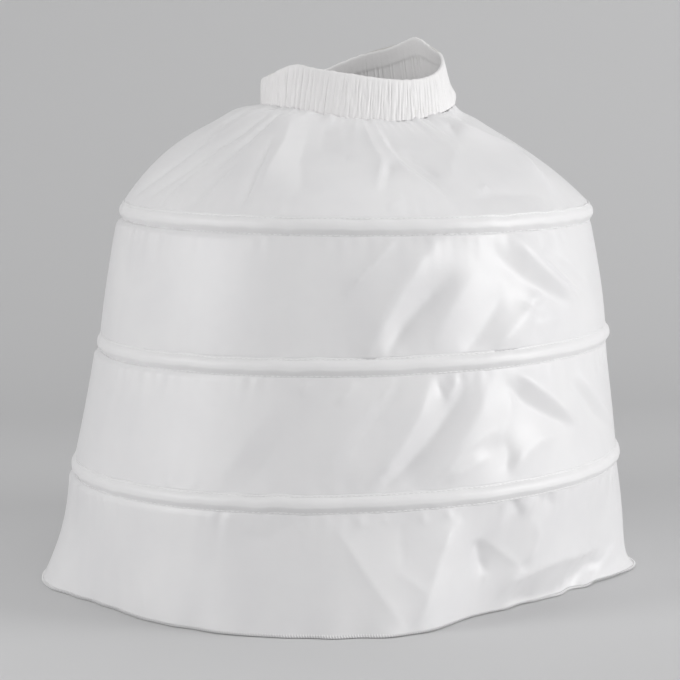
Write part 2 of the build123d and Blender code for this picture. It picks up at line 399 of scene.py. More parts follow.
def slack(angle, share, seed):
    """Wide soft unevenness that is nothing at both seams."""
    random = np.random.RandomState(seed)
    total = np.zeros_like(angle)
    for k in range(18):
        crests, tilt, phase = random.randint(3, 16), random.uniform(-4, 4), random.uniform(0, TURN)
        total += np.cos(crests * angle + tilt * share + phase) / (1 + crests / 8)
    return total / 3 * np.sin(math.pi * share)


# %% [markdown]
# ## Where a tier meets the casings
# A tier's edges run in behind the stitched edges of the casings above and below it.  The skirt leans to the right,
# so on the left the cloth is stretched, and leaves the casing above it at the hoop's own reach.

# %% Edges at the casings
TUCK = 2.2 * MM  # how far a tier's edge runs in behind the casing's stitched edge
TUCK_GAP = 0.5 * MM  # how far outside the casing's inner wall it lies there
TAUT = 5.5 * MM
TAUT_START = 0.05  # share of the drop over which the stretched cloth comes out


def taut(angle, share):
    """How far the stretched cloth on the left stands out."""
    return TAUT * np.clip(-np.cos(angle), 0, 1) ** 2 * (1 - share) * np.clip(share / TAUT_START, 0, 1)


def above(ring, angle):
    return on_ring(ring, angle, ring.inside + TUCK_GAP, ring.half_height - TUCK)


def below(ring, angle):
    return on_ring(ring, angle, ring.inside + TUCK_GAP, TUCK - ring.half_height)


# %% [markdown]
# ## The yoke
# The top tier is gathered into the waistband's seam and swells out to the upper hoop, more on the left than on
# the right, because the skirt leans.  On the right it hangs in below the waist and out above the hoop.  Pleats
# of different lengths run out from the seam, and long drag lines fan out of it on the left.

# %% Yoke
YOKE_COLUMNS, YOKE_ROWS = 720, 56
YOKE_BULGE, YOKE_BULGE_SWING, YOKE_SWAY = 10.5 * MM, 7.2 * MM, 2.2 * MM
YOKE_SHOULDER = 3.5 * MM  # the yoke stands up beside the waist on the left, and dips there on the right
YOKE_LAP = 1.0 * MM  # how far below the waistband's edge it starts
YOKE_DROP = 0.16  # metres from the waist seam to the upper casing, along the cloth
PLEAT_COUNT, PLEAT_DEPTH = 90, 1.7 * MM
PLEAT_SINK, PLEAT_SINK_SHARE = 0.7, 0.15  # between the pleats the seam draws the cloth in
yoke_folds = [
    (1.0, (262, 112), (228, 136), (200, 152), (165, 178)),
    (1.2, (284, 110), (255, 130), (232, 147)),
    (1.4, (262, 140), (245, 172), (225, 205)),
    (2.8, (295, 111), (284, 143), (270, 165), (259, 189)),
    (-1.8, (310, 127), (300, 160), (303, 195)),
    (-1.4, (326, 124), (321, 154)),
    (1.2, (338, 124), (345, 160)),
    (10.5, (426, 116), (450, 128), (473, 138), (497, 148), (512, 155), (528, 171), (543, 184), (552, 197)),
    (-3.0, (400, 150), (425, 165), (440, 178)),
    (2.4, (452, 131), (457, 147), (450, 167), (455, 180)),
    (-3.0, (470, 200), (500, 192), (535, 195)),
    (2.0, (404, 197), (387, 212)),
    (3.8, (361, 122), (371, 147), (381, 164), (379, 179), (375, 191)),
    (-0.4, (390, 169), (387, 179), (383, 192)),
    (3.2, (373, 119), (377, 133), (385, 150), (395, 162), (407, 172), (423, 183), (440, 195), (454, 207)),
    (-0.4, (380, 121), (384, 133), (392, 148), (401, 158), (412, 168), (428, 179), (445, 191), (459, 203)),
]
yoke_creases = [
    (-2.4, (248, 111), (224, 124), (206, 140), (188, 155), (163, 173), (130, 199)),
    (-2.6, (281, 105), (262, 119), (240, 136), (224, 146), (203, 159), (174, 179), (143, 201)),
    (-2.4, (224, 146), (197, 169), (181, 181), (164, 198)),
    (-2.6, (287, 108), (254, 137), (237, 151), (221, 165), (205, 178)),
    (-2.6, (240, 159), (226, 173), (215, 184), (203, 198), (187, 209)),
    (-2.6, (273, 137), (265, 158), (256, 177), (247, 196), (237, 212)),
    (1.2, (361, 122), (371, 147), (382, 164), (380, 179), (376, 191)),
    (1.4, (373, 119), (377, 133), (385, 150), (395, 162), (407, 172), (423, 183), (440, 195), (454, 207)),
    (-1.8, (450, 112), (485, 136), (514, 152)),
    (1.6, (480, 191), (487, 184)),
    (1.8, (290, 104), (293, 112)),
    (1.6, (305, 111), (308, 118)),
    (1.6, (330, 115), (332, 123)),
]


def yoke_form(angle, share):
    start = band_line(angle, np.ones_like(angle)) - np.array([0, 0, YOKE_LAP])
    push = (YOKE_BULGE - YOKE_BULGE_SWING * np.cos(angle)) * 4 * share * (1 - share)
    left, right = np.clip(-np.cos(angle), 0, 1) ** 2, np.clip(np.cos(angle), 0, 1) ** 2
    push -= YOKE_SWAY * right * np.sin(TURN * share)
    push += YOKE_SHOULDER * left * np.exp(-(((share - 0.15) / 0.1) ** 2))
    push -= YOKE_SHOULDER * right * np.exp(-(((share - 0.08) / 0.08) ** 2))
    return swell(start, above(upper, angle), share, angle, push)


def pleats(angle, share):
    """Gathers of uneven width and length, running out of the waist seam."""
    random = np.random.RandomState(11)
    total = np.zeros_like(angle)
    for k in range(PLEAT_COUNT):
        at = (k + random.uniform(-0.35, 0.35)) / PLEAT_COUNT * TURN
        width = random.uniform(0.45, 0.8) * TURN / PLEAT_COUNT
        length = random.choice([0.12, 0.18, 0.3, 0.55], p=[0.4, 0.3, 0.2, 0.1])
        spread = width * (1 + 0.8 * share)
        gap = (angle - at + math.pi) % TURN - math.pi
        total += random.uniform(0.7, 1.3) * np.exp(-((gap / spread) ** 2) - (share / length) ** 1.5)
    return total


angle, share, form = grid_of(yoke_form, YOKE_COLUMNS, YOKE_ROWS)
out = normals_of(form)
push = fold_push(form, out, yoke_folds, yoke_creases, back=(23, 9), reach=22 * MM, soften=2, crease_soften=0)
push += PLEAT_DEPTH * (pleats(angle, share) - PLEAT_SINK * np.exp(-share / PLEAT_SINK_SHARE))
push += 0.3 * MM * puckers(angle, (1 - share) * YOKE_DROP, 12 * MM, seed=21)
push += 0.8 * MM * slack(angle, share, seed=22)
yoke = tier_piece("yoke_cloth", form + out * push[..., None])

# %% [markdown]
# ## The middle tiers
# Between two hoops the cloth is a plain band.  On the left it is taut and smooth.  On the right it is slack, and
# drag folds slant from casing to casing.

# %% Second and third tier
TIER_COLUMNS, TIER_ROWS = 720, 48
second_folds = [
    (-2.0, (347, 303), (312, 333), (277, 362)),
    (7.6, (438, 236), (420, 260), (401, 288), (391, 308), (379, 328), (366, 362)),
    (-4.8, (454, 276), (438, 290), (419, 308), (401, 328), (388, 362)),
    (1.2, (474, 278), (461, 290), (450, 308), (439, 328), (426, 360)),
    (-3.6, (506, 280), (500, 300), (484, 328), (462, 358)),
    (4.4, (540, 294), (530, 308), (514, 328), (494, 354)),
    (2.4, (534, 331), (541, 320), (560, 314)),
    (-3.8, (486, 240), (508, 266), (535, 286), (564, 302)),
    (-2.0, (466, 246), (490, 276), (516, 297), (545, 312)),
    (6.4, (509, 234), (541, 265), (564, 287), (580, 302)),
    (-1.4, (545, 256), (568, 278), (589, 298)),
    (2.2, (550, 238), (574, 268), (594, 292)),
]
second_creases = [
    (2.8, (398, 236), (376, 261), (345, 295)),
    (1.0, (543, 241), (568, 265), (589, 284)),
]
third_folds = [
    (5.2, (431, 376), (419, 412), (402, 443), (385, 468), (366, 492)),
    (-4.2, (468, 382), (454, 408), (438, 430), (423, 450), (399, 474), (380, 494)),
    (2.6, (492, 376), (481, 408), (470, 430), (452, 452), (434, 472), (426, 490)),
    (2.2, (512, 396), (506, 420), (494, 446)),
    (-1.8, (505, 440), (510, 456), (503, 474)),
    (2.2, (446, 482), (485, 450)),
    (3.6, (513, 474), (520, 457), (537, 441), (558, 433)),
    (-2.8, (506, 384), (521, 400), (545, 414), (570, 426)),
    (5.6, (515, 371), (546, 395), (565, 412), (577, 424)),
    (-2.4, (566, 376), (585, 400), (606, 428)),
    (4.6, (576, 372), (597, 402), (612, 424)),
    (1.2, (286, 388), (262, 424), (238, 458), (213, 488)),
    (-1.6, (312, 394), (288, 430), (264, 464), (240, 492)),
    (1.8, (388, 381), (367, 410), (352, 430), (338, 450), (322, 475)),
    (-1.2, (400, 388), (383, 412), (368, 432), (356, 452)),
]
third_creases = [
    (1.4, (309, 382), (300, 395)),
    (1.5, (356, 381), (337, 406)),
    (1.2, (395, 378), (380, 400)),
    (1.7, (434, 486), (460, 452), (496, 427)),
    (1.6, (441, 484), (491, 455)),
    (1.6, (458, 378), (446, 402)),
    (-1.6, (437, 380), (443, 397)),
]


def tier(name, top, foot, folds, creases, belly, soften, seed):
    """Cloth between two casings; the belly is how far it swells out between them."""
    def form_at(angle, share):
        push = taut(angle, share) + belly * np.sin(math.pi * share) ** 0.6
        return swell(below(top, angle), above(foot, angle), share, angle, push)

    angle, share, form = grid_of(form_at, TIER_COLUMNS, TIER_ROWS)
    out, drop = normals_of(form), drop_of(form)
    push = fold_push(form, out, folds, creases, back=(seed + 7, 10), reach=26 * MM, soften=soften, crease_soften=1)
    push += 0.45 * MM * puckers(angle, share * drop, 10 * MM, seed)
    push += 0.3 * MM * puckers(angle, (1 - share) * drop, 8 * MM, seed + 3)
    push += 0.5 * MM * slack(angle, share, seed + 6)
    return tier_piece(name, form + out * push[..., None])


second_tier = tier(
    "second_tier_cloth", upper, middle, second_folds, second_creases, belly=2.5 * MM, soften=8, seed=31
)
third_tier = tier("third_tier_cloth", middle, lower, third_folds, third_creases, belly=0, soften=4, seed=51)

# %% [markdown]
# ## The hem tier
# Below the lowest hoop nothing holds the cloth but its own hem on the floor.  It flares at both sides, a sharp
# crease runs down the front, and at the right front it is drawn in under the hoop.

# %% Hem tier
HEM_COLUMNS, HEM_ROWS = 720, 48
HEM_FOOT = 0.8 * MM  # height of the cloth's own edge, inside the thread,
HEM_LOWEST = 0.6 * MM  # and the lowest that a fold may push it
LEFT_FLARE, RIGHT_FLARE = 6.0 * MM, 10.5 * MM  # how far the tier hangs in before it flares out to the hem
HEM_WAVER = 0.6 * MM
hem_folds = [
    (1.4, (322, 516), (336, 529), (354, 555), (374, 586), (394, 615), (408, 632)),
    (-1.4, (400, 522), (402, 545), (404, 565)),
    (6.2, (460, 517), (446, 537), (436, 562), (430, 588), (421, 612), (413, 630)),
    (-7.5, (479, 540), (482, 560), (486, 576)),
    (3.4, (534, 516), (537, 535), (530, 556), (522, 566)),
    (-3.5, (514, 500), (520, 513)),
    (2.4, (529, 503), (521, 514)),
    (-2.2, (547, 494), (554, 508)),
    (4.5, (496, 598), (514, 579), (545, 564), (590, 550), (612, 544)),
    (-8.5, (508, 602), (535, 598), (562, 592), (578, 578), (592, 561)),
    (4.6, (615, 542), (599, 564), (584, 586)),
    (-1.6, (238, 534), (262, 539), (300, 522)),
    (-2.5, (285, 635), (340, 636), (390, 634)),
    (1.2, (145, 587), (143, 614)),
]
hem_creases = [
    (1.0, (336, 529), (354, 555), (374, 586), (394, 615), (409, 634)),
    (0.8, (396, 571), (410, 582), (427, 595)),
    (1.4, (485, 539), (503, 553), (521, 568)),
    (-1.2, (612, 545), (597, 562), (582, 581)),
    (1.2, (358, 516), (365, 529)),
    (1.0, (382, 515), (387, 525)),
    (1.3, (420, 512), (426, 526)),
    (1.2, (445, 510), (452, 521)),
]


def hem_form(angle, share):
    radius = hem_radius(angle.ravel()).reshape(angle.shape)
    foot = np.stack([radius * np.cos(angle), radius * np.sin(angle), np.full_like(angle, HEM_FOOT)], -1)
    left, right = np.clip(-np.cos(angle), 0, 1) ** 4, np.clip(np.cos(angle), 0, 1) ** 4
    push = taut(angle, share) - LEFT_FLARE * left * np.sin(math.pi * share)
    push -= RIGHT_FLARE * right * share**1.7 * (1 - share**10)
    push += HEM_WAVER * ripple(angle, 14, 45, 14, 77) * share**4
    return swell(below(lower, angle), foot, share, angle, push)


angle, share, form = grid_of(hem_form, HEM_COLUMNS, HEM_ROWS)
out = normals_of(form)
push = fold_push(
    form, out, hem_folds, hem_creases, back=(75, 9), reach=22 * MM, soften=2, crease_soften=1, free_foot=True
)
push += 0.6 * MM * puckers(angle, share * drop_of(form), 12 * MM, seed=71)
push += 0.8 * MM * slack(angle, share, seed=74)
hem_cloth = form + out * push[..., None]
hem_cloth[..., 2] = np.maximum(hem_cloth[..., 2], HEM_LOWEST)
hem_tier = tier_piece("hem_tier_cloth", hem_cloth)
hem_line = hem_cloth[-1]

# %% [markdown]
# ## The hoop casings
# Each hoop runs in a tape that is stitched to the skirt along both edges.  The tape stands out furthest a little
# below its middle, where the hoop rests.  It curves full from there up to the top seam, and slopes nearly straight
# back to the lower one, which puts a soft shade under each hoop.  It is a little long for the hoop, so it ruckles,
# most of all along its lower seam.

# %% Casings
CASING_COLUMNS = 720
CASING_EDGE = 2.0 * MM  # height of the stitched edge
CASING_FACE = 1.3 * MM  # how far that edge's face is from the casing's inner wall
CASING_EASE = 1.2 * MM  # the tape lies this much flatter than its solid,
CASING_TRIM = 0.7 * MM  # and its edges are this much shorter
CASING_FREE = 1.6 * MM  # further out than this it is free of the cloth behind it
HOOP_REST = -0.25  # where the hoop rests, from the top seam at 1 to the lower seam at -1
FULL_CURVE, FLAT_SLOPE = 2.8, 1.35  # powers that round the tape above and below the hoop
SLEEVE_TURN = 0.075  # half of the angle at the back over which the sleeve that joins the hoop's ends shows


def bow(share):
    """How far the tape stands out, as a part of its reach at the hoop."""
    above_hoop = 1 - np.clip((share - HOOP_REST) / (1 - HOOP_REST), 0, 1) ** FULL_CURVE
    under_hoop = 1 - np.clip((HOOP_REST - share) / (1 + HOOP_REST), 0, 1) ** FLAT_SLOPE
    return np.minimum(above_hoop, under_hoop)


def casing_section(ring):
    """The section's points, as radius and height: down the front, and back up behind."""
    face = ring.inside + CASING_FACE
    top = ring.half_height - CASING_TRIM
    end = top - CASING_EDGE
    peak = ring.reach - CASING_EASE - face
    edge = [(ring.inside + 0.6 * MM, top), (ring.inside + 1.0 * MM, top - 0.1 * MM), (face, top - 0.8 * MM)]
    edge += [(face - 0.05 * MM, end + 0.2 * MM)]
    spread = np.concatenate([np.linspace(0.97, -0.22, 12), np.linspace(-0.3, -0.97, 9)])
    front = edge + [(face + peak * bow(b), b * end) for b in spread]
    foot = [(radius, -height) for radius, height in reversed(edge)]
    behind = [(ring.inside, height) for height in np.linspace(-top, top, 5)]
    return np.array(front + foot + behind)


def casing(ring, seed):
    section = casing_section(ring)
    angle, radius = np.meshgrid(np.arange(CASING_COLUMNS) / CASING_COLUMNS * TURN, section[:, 0])
    height = np.broadcast_to(section[:, 1:], angle.shape)
    at = height / ring.half_height
    in_front = np.clip((radius - ring.inside) / CASING_FREE, 0, 1)
    uneven = np.clip(0.5 + 0.5 * ripple(angle, 3, 9, 6, seed + 4), 0.1, 1.3)
    wave = ripple(angle, 90, 130, 12, seed + 2) * uneven
    low_seam = np.exp(-(((at + 0.8) / 0.2) ** 2))
    ruckle = 0.16 * ripple(angle, 14, 40, 12, seed + 1) + 0.1 * np.abs(at) * ripple(angle, 70, 140, 24, seed)
    sleeve = np.exp(-(((angle - math.pi / 2) / SLEEVE_TURN) ** 4)) * (radius > ring.inside + CASING_FREE)
    radius = radius + MM * in_front * (ruckle + 0.25 * low_seam * wave + 0.9 * sleeve)
    height = height + MM * (0.25 * ripple(angle, 12, 50, 16, seed + 3) + 0.2 * low_seam * wave)
    piece = mesh_of(ring.name + "_casing_cloth", on_ring(ring, angle, radius, height), wrap_rows=True)
    print(piece.name, len(piece.data.polygons))
    return piece


casings = [casing(ring, seed) for ring, seed in zip(rings, (91, 101, 111))]

# %% [markdown]
# ## The waistband
# The band is one strip of cloth folded over the elastic, so its wall goes up outside, over the rim and down
# inside.  The elastic draws it into close upright gathers, round on their crests and sharp between.

# %% Waistband
BAND_COLUMNS = 1200
OUTSIDE_ROWS, RIM_ROWS = 14, 7
RIM_SHARE = 0.03  # where the wall starts to turn over the rim
GATHER_COUNT = 104
BAND_HALF = 1.7 * MM  # half of the wall, from cloth to cloth across the elastic
RIM_FLAT = 0.8  # the rim's height over its half width
GATHER_DEPTH, FINE_DEPTH = 1.1 * MM, 0.45 * MM
GATHER_LEAN = 0.011  # how far round, in turns, a gather runs from the rim to the seam
HEADER_SHARE = 0.28  # a row of stitches inside, below the rim,
HEADER_SINK = 0.6 * MM  # under which the cloth lies closer to the elastic
SIDE_LOBE = 3.5 * MM  # the cloth stands out above the seam at the right
RIM_HUMPS = [  # angle and width in degrees, and height in millimetres
    (230, 11, 3.8),
    (205, 8, -2.4),
    (46, 11, 5.0),
    (25, 12, -2.2),
    (70, 13, -2.6),
]


def gathers(angle, share, count, seed):
    """Uneven upright gathers from 0 in the creases to 1 on the crests."""
    random = np.random.RandomState(seed)
    steps = random.uniform(0.7, 1.4, count)
    edges = np.concatenate([[0], np.cumsum(steps) / steps.sum()])
    heights = random.uniform(0.5, 1.0, count)
    bend = 0.2 * ripple(angle, 20, 60, 8, seed + 1) * np.sin(math.pi * share) / count + GATHER_LEAN * share
    at = (angle / TURN + bend) % 1
    k = np.clip(np.searchsorted(edges, at, side="right") - 1, 0, count - 1)
    t = (at - edges[k]) / (edges[k + 1] - edges[k])
    return heights[k] * np.clip(np.sin(math.pi * t), 0, 1) ** 0.7


def rim_humps(angle):
    """The slack rim stands up at the front left and at the back right, and dips beside those places."""
    total = np.zeros_like(angle)
    for at, width, height in RIM_HUMPS:
        gap = (np.degrees(angle) - at + 180) % 360 - 180
        total += height * MM * np.exp(-((gap / width) ** 2))
    return total


def band_wall():
    """The wall's points, row by row: up outside, over the rim, where it turns by half a circle, and down inside."""
    angle_line = np.arange(BAND_COLUMNS) / BAND_COLUMNS * TURN
    inside = [RIM_SHARE, 0.1, 0.17, 0.23, 0.26, HEADER_SHARE, 0.3, 0.33, 0.4, 0.5, 0.6, 0.7, 0.8, 0.9, 1]
    shares = np.concatenate([np.linspace(1, RIM_SHARE, OUTSIDE_ROWS), np.zeros(RIM_ROWS), inside])
    turns = np.concatenate([np.zeros(OUTSIDE_ROWS), np.linspace(0, 1, RIM_ROWS + 2)[1:-1], np.ones(len(inside))])
    angle, share = np.meshgrid(angle_line, shares)
    turned = np.broadcast_to(turns[:, None], angle.shape) * math.pi
    line = band_line(angle, share)
    level = np.stack([np.cos(angle) / band_half.x, np.sin(angle) / band_half.y, np.zeros_like(angle)], -1)
    level /= np.linalg.norm(level, axis=-1, keepdims=True)
    drawn = 0.25 + 0.75 * np.clip(share / 0.2, 0, 1)  # the rim's fold smooths the gathers out,
    drawn = drawn * np.where(turned < 2, 1, 0.25 + 0.4 * (share > HEADER_SHARE))  # and so does the elastic inside
    half = BAND_HALF + drawn * GATHER_DEPTH * (gathers(angle, share, GATHER_COUNT, 131) - 0.5)
    half += drawn * FINE_DEPTH * (gathers(angle, share, 2 * GATHER_COUNT + 11, 141) - 0.5)
    half -= np.where(turned > 3, HEADER_SINK * np.clip((share - HEADER_SHARE) / 0.04 + 0.5, 0, 1), 0)
    side_lobe = np.exp(-(((angle + 0.1 + math.pi) % TURN - math.pi) / 0.2) ** 2 - ((share - 0.78) / 0.17) ** 2)
    half += np.where(turned < 0.1, SIDE_LOBE * side_lobe, 0)
    side, over = half * np.cos(turned), half * np.sin(turned) * RIM_FLAT
    ruffle = 0.15 * MM * ripple(angle, 20, 60, 14, 133) * np.exp(-share / 0.15)
    line = line + level * side[..., None]
    line[..., 2] += over + ruffle - RIM_FLAT * BAND_HALF + rim_humps(angle) * np.clip(1 - share, 0, 1)
    return line


waistband = mesh_of("waistband_cloth", band_wall()[::-1])
print("waistband faces", len(waistband.data.polygons))

# %% [markdown]
# ## Stitching
# A row of machine stitches holds each edge of each casing.  One stitch is a short thread, thick in the middle:
# a small cylinder whose ends are drawn in.  It is modelled once, and copied along the seam.

# %% One stitch, copied along the casing seams
STITCH_LENGTH, STITCH_PITCH, THREAD = 3.2 * MM, 5.2 * MM, 0.5 * MM
TIP_SHARE, TIP_WIDTH = 0.15, 0.4  # each drawn-in end, of the stitch's length and of the thread
STITCH_OUT = 1.4 * MM  # how far the stitches lie from the casing's inner wall


def one_stitch():
    bpy.ops.object.select_all(action="DESELECT")
    straight = STITCH_LENGTH * (1 - 2 * TIP_SHARE)
    bpy.ops.mesh.primitive_cylinder_add(vertices=6, radius=THREAD / 2, depth=straight)
    stitch = bpy.context.object
    bpy.ops.object.mode_set(mode="EDIT")
    for sign in (1, -1):
        bpy.ops.mesh.select_all(action="DESELECT")
        bpy.ops.object.mode_set(mode="OBJECT")
        for face in stitch.data.polygons:
            face.select = face.normal.z * sign > 0.9
        bpy.ops.object.mode_set(mode="EDIT")
        move = (0, 0, sign * STITCH_LENGTH * TIP_SHARE)
        bpy.ops.mesh.extrude_region_move(TRANSFORM_OT_translate={"value": move})
        bpy.ops.transform.resize(value=(TIP_WIDTH, TIP_WIDTH, 1))
    bpy.ops.object.mode_set(mode="OBJECT")
    return taken(stitch)


def taken(model):
    """A modelled shape's points and faces, in an order that is the same each run; the model is removed."""
    points = np.array([v.co for v in model.data.vertices])
    order = np.lexsort(points.round(6).T)
    rank = np.argsort(order)
    faces = []
    for face in model.data.polygons:
        corners = [int(rank[v]) for v in face.vertices]
        first = corners.index(min(corners))
        faces.append(corners[first:] + corners[:first])
    bpy.data.objects.remove(model)
    return points[order], sorted(faces)


def copy_along(name, pattern, places, runs, outs):
    """One piece with a copy of a small shape at each place, its length along the run and its side to the out."""
    points, faces = pattern
    runs = runs / np.linalg.norm(runs, axis=-1, keepdims=True)
    outs = outs - (outs * runs).sum(-1, keepdims=True) * runs
    outs = outs / np.linalg.norm(outs, axis=-1, keepdims=True)
    sides = np.cross(runs, outs)
    axes = np.stack([outs, sides, runs], 1)
    laid = places[:, None] + np.einsum("pk,nkd->npd", points, axes)
    count = len(points)
    all_faces = [[v + k * count for v in face] for k in range(len(places)) for face in faces]
    print(name, len(places), "copies")
    return new_piece(name, laid, all_faces)


def casing_stitches(ring, pattern):
    places, runs, outs = [], [], []
    for sign in (1, -1):
        count = int(TURN * ring.reach / STITCH_PITCH)
        at = (np.arange(count) + 0.5 * (sign < 0)) / count * TURN
        height = sign * (ring.half_height - CASING_TRIM - 0.75 * CASING_EDGE) + 0 * at
        places.append(on_ring(ring, at, ring.inside + STITCH_OUT + 0.25 * THREAD, height))
        runs.append(np.stack([-np.sin(at), np.cos(at), 0 * at], -1))
        outs.append(np.stack([np.cos(at), np.sin(at), 0 * at], -1))
    return copy_along(ring.name + "_casing_stitches", pattern, *(np.concatenate(x) for x in (places, runs, outs)))


stitch = one_stitch()
stitches = [casing_stitches(ring, stitch) for ring in rings]

# %% [markdown]
# ## The overlocked hem
# An overlock machine wraps the raw edge in thread.  Each wrap is a thin slanted loop round the edge.  The loops
# stand on the floor side by side.

# %% Overlock
HEM_EDGE = 3.0 * MM  # height of a wrap, between the middles of its thread
WRAP_PITCH, WRAP_THREAD = 2.5 * MM, 0.9 * MM
WRAP_FLAT = 0.6  # a wrap's depth over its height
WRAP_SLANT = 0.35  # how far it leans along the hem, over its height


def one_wrap():
    """A flat loop of thread round the cloth's edge: a torus, stretched upright."""
    bpy.ops.object.select_all(action="DESELECT")
    bpy.ops.mesh.primitive_torus_add(
        major_segments=10, minor_segments=4, major_radius=HEM_EDGE / 2, minor_radius=WRAP_THREAD / 2,
        rotation=(0, math.radians(90), 0),
    )
    loop = bpy.context.object
    bpy.ops.object.transform_apply(rotation=True)
    bpy.ops.object.mode_set(mode="EDIT")
    bpy.ops.mesh.select_all(action="SELECT")
    bpy.ops.transform.resize(value=(1, WRAP_FLAT, 1))
    bpy.ops.object.mode_set(mode="OBJECT")
    points, faces = taken(loop)
    return points[:, [1, 2, 0]], faces


closed = np.concatenate([hem_line, hem_line[:1]])
lengths = np.linalg.norm(np.diff(closed, axis=0), axis=1)
along = np.concatenate([[0], np.cumsum(lengths)])
wraps = int(along[-1] / WRAP_PITCH)
at = np.arange(wraps) / wraps * along[-1]
places = np.stack([np.interp(at, along, closed[:, k]) for k in range(3)], -1)
runs = np.roll(places, -1, 0) - np.roll(places, 1, 0)
runs[:, 2] = 0
runs += np.array([0, 0, WRAP_SLANT]) * np.linalg.norm(runs, axis=1, keepdims=True)
outs = np.cross(runs, np.array([0, 0, 1.0]))
places[:, 2] = HEM_EDGE / 2 + WRAP_THREAD / 2
overlock = copy_along("hem_overlock_thread", one_wrap(), places, runs, outs)

# %% [markdown]
# ## Finishes
# The cloth is a plain-woven white lining with a soft gloss.  Its colour is even, so the weave, the slight cloudiness
# of thin cloth over its own shadow, and the fine crush between the seams carry the surface.

# %% Cloth, thread, plastic and steel
WAVE_PERIOD = TURN / 20  # length of one band of a wave texture at scale 1
SOFT_SHEEN = 0.2
GLOSS_SPREAD = 0.12  # how far scratches change the roughness of plastic and steel


def material(name, colour, roughness, sheen=0.0, metallic=0.0):
    made = bpy.data.materials.new(name)
    made.use_nodes = True
    shader = made.node_tree.nodes["Principled BSDF"]
    shader.inputs["Base Color"].default_value = (*colour, 1)
    shader.inputs["Roughness"].default_value = roughness
    shader.inputs["Metallic"].default_value = metallic
    shader.inputs["Sheen Weight"].default_value = sheen
    shader.inputs["Sheen Roughness"].default_value = 0.4
    return made, shader


def add(made, kind, **values):
    node = made.node_tree.nodes.new("ShaderNode" + kind)
    for name, value in values.items():
        if name in node.inputs:
            node.inputs[name].default_value = value
        else:
            setattr(node, name, value)
    return node


def noise_on(made, place, **values):
    """Noise at a place, such as the piece's own coordinates or its map of the cloth."""
    noise = add(made, "TexNoise", **values)
    made.node_tree.links.new(place, noise.inputs["Vector"])
    return noise.outputs["Fac"]


def cloth_finish(name, colour, shade, roughness, threads):
    """White woven cloth with a soft gloss: threads to the metre, slubs along the weft, faint clouds in its colour."""
    made, shader = material(name, colour, roughness, sheen=SOFT_SHEEN)
    link = made.node_tree.links.new
    place = add(made, "TexCoord").outputs
    clouds = noise_on(made, place["Object"], Scale=14.0, Detail=3.0, Roughness=0.6)
    tone = add(made, "ValToRGB")
    for stop, at, tint in zip(tone.color_ramp.elements, (0.3, 0.7), (shade, colour)):
        stop.position, stop.color = at, (*tint, 1)
    link(clouds, tone.inputs["Fac"])
    link(tone.outputs["Color"], shader.inputs["Base Color"])
    stretch = add(made, "Mapping", Scale=(14.0, 600.0, 1.0))
    link(place["UV"], stretch.inputs["Vector"])
    slubs = noise_on(made, stretch.outputs["Vector"], Scale=1.0, Detail=3.0, Roughness=0.6)
    crush = noise_on(made, place["Object"], Scale=90.0, Detail=4.0, Roughness=0.6)
    weave = add(made, "Math", operation="MAXIMUM")
    for side, way in enumerate("XY"):
        yarns = add(made, "TexWave", bands_direction=way, Scale=threads * WAVE_PERIOD, Distortion=0.6, Detail=1.0)
        link(place["UV"], yarns.inputs["Vector"])
        link(yarns.outputs["Fac"], weave.inputs[side])
    bumps = [(weave.outputs["Value"], 0.15, 0.1 * MM), (slubs, 0.2, 0.2 * MM), (crush, 0.1, 1.0 * MM)]
    normal = None
    for height, strength, distance in bumps:
        bump = add(made, "Bump", Strength=strength, Distance=distance)
        link(height, bump.inputs["Height"])
        if normal:
            link(normal, bump.inputs["Normal"])
        normal = bump.outputs["Normal"]
    link(normal, shader.inputs["Normal"])
    return made


def thread_finish(name, colour):
    """Sewing thread: a fine twist on a soft gloss."""
    made, shader = material(name, colour, 0.5, sheen=SOFT_SHEEN)
    link = made.node_tree.links.new
    twist = noise_on(made, add(made, "TexCoord").outputs["Object"], Scale=1500.0, Detail=2.0)
    bump = add(made, "Bump", Strength=0.3, Distance=0.2 * MM)
    link(twist, bump.inputs["Height"])
    link(bump.outputs["Normal"], shader.inputs["Normal"])
    return made


def hard_finish(name, colour, roughness, metallic, scale):
    """The hoops' plastic coat and the sleeves' steel: small scratches in the gloss."""
    made, shader = material(name, colour, roughness, metallic=metallic)
    link = made.node_tree.links.new
    scratches = noise_on(made, add(made, "TexCoord").outputs["Object"], Scale=scale, Detail=4.0)
    spread = add(made, "MapRange")
    spread.inputs["To Min"].default_value = roughness - GLOSS_SPREAD
    spread.inputs["To Max"].default_value = roughness + GLOSS_SPREAD
    link(scratches, spread.inputs["Value"])
    link(spread.outputs["Result"], shader.inputs["Roughness"])
    return made


tier_cloth = cloth_finish("tier_cloth", (0.80, 0.795, 0.80), (0.76, 0.755, 0.765), 0.42, 2200)
casing_cloth = cloth_finish("casing_cloth", (0.82, 0.815, 0.82), (0.79, 0.785, 0.79), 0.45, 2200)
band_cloth = cloth_finish("band_cloth", (0.83, 0.82, 0.82), (0.79, 0.78, 0.78), 0.55, 2200)
thread = thread_finish("thread", (0.90, 0.90, 0.90))
hoop_plastic = hard_finish("hoop_plastic", (0.78, 0.78, 0.75), 0.4, 0.0, 300.0)
sleeve_steel = hard_finish("sleeve_steel", (0.56, 0.56, 0.58), 0.35, 1.0, 500.0)
elastic_knit = cloth_finish("elastic_knit", (0.76, 0.75, 0.73), (0.70, 0.69, 0.67), 0.7, 900)
